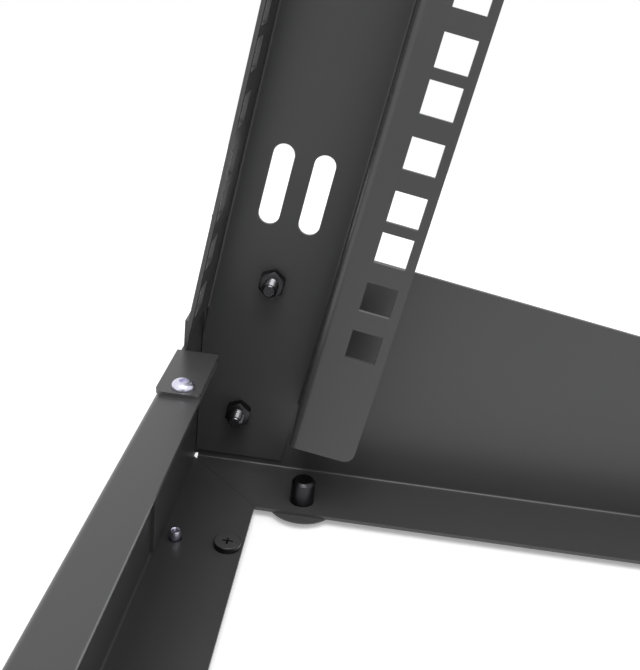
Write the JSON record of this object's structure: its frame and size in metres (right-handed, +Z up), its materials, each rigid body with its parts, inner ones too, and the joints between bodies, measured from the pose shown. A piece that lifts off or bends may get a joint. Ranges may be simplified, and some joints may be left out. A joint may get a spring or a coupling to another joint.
{
  "type": "two post open frame rack",
  "caption": "Table-top two-post open frame for 19-inch equipment: folded posts with square holes, leaning back over tapered side feet joined by cross beams, on levelling feet.",
  "frame": {"origin": "floor level at the middle of the rack's width and depth", "axes": "+X to the right seen from the front, +Y from front to rear, +Z up"},
  "size_m": [0.518, 0.345, 0.631],
  "materials": {
    "powder_coat": "satin black powder coat",
    "black_steel": "black oxide",
    "zinc_steel": "bright zinc plating",
    "foot_plastic": "moulded black nylon"
  },
  "bodies": {
    "root": {"post_left": "powder_coat", "side_foot_left": "powder_coat", "foot_pad_front_left": "foot_plastic", "foot_stud_front_left": "black_steel", "tongue_screw_front_left": "zinc_steel", "top_bolt_front_left": "black_steel", "foot_pad_rear_left": "foot_plastic", "foot_stud_rear_left": "black_steel", "tongue_screw_rear_left": "zinc_steel", "top_bolt_rear_left": "black_steel", "post_bolt_upper_left": "black_steel", "post_bolt_lower_left": "black_steel", "beam_bolt_left": "zinc_steel", "beam_screw_left": "black_steel", "post_right": "powder_coat", "side_foot_right": "powder_coat", "foot_pad_front_right": "foot_plastic", "foot_stud_front_right": "black_steel", "tongue_screw_front_right": "zinc_steel", "top_bolt_front_right": "black_steel", "foot_pad_rear_right": "foot_plastic", "foot_stud_rear_right": "black_steel", "tongue_screw_rear_right": "zinc_steel", "top_bolt_rear_right": "black_steel", "post_bolt_upper_right": "black_steel", "post_bolt_lower_right": "black_steel", "beam_bolt_right": "zinc_steel", "beam_screw_right": "black_steel", "front_beam": "powder_coat", "rear_beam": "powder_coat", "top_beam": "powder_coat"}
  },
  "joints": []
}
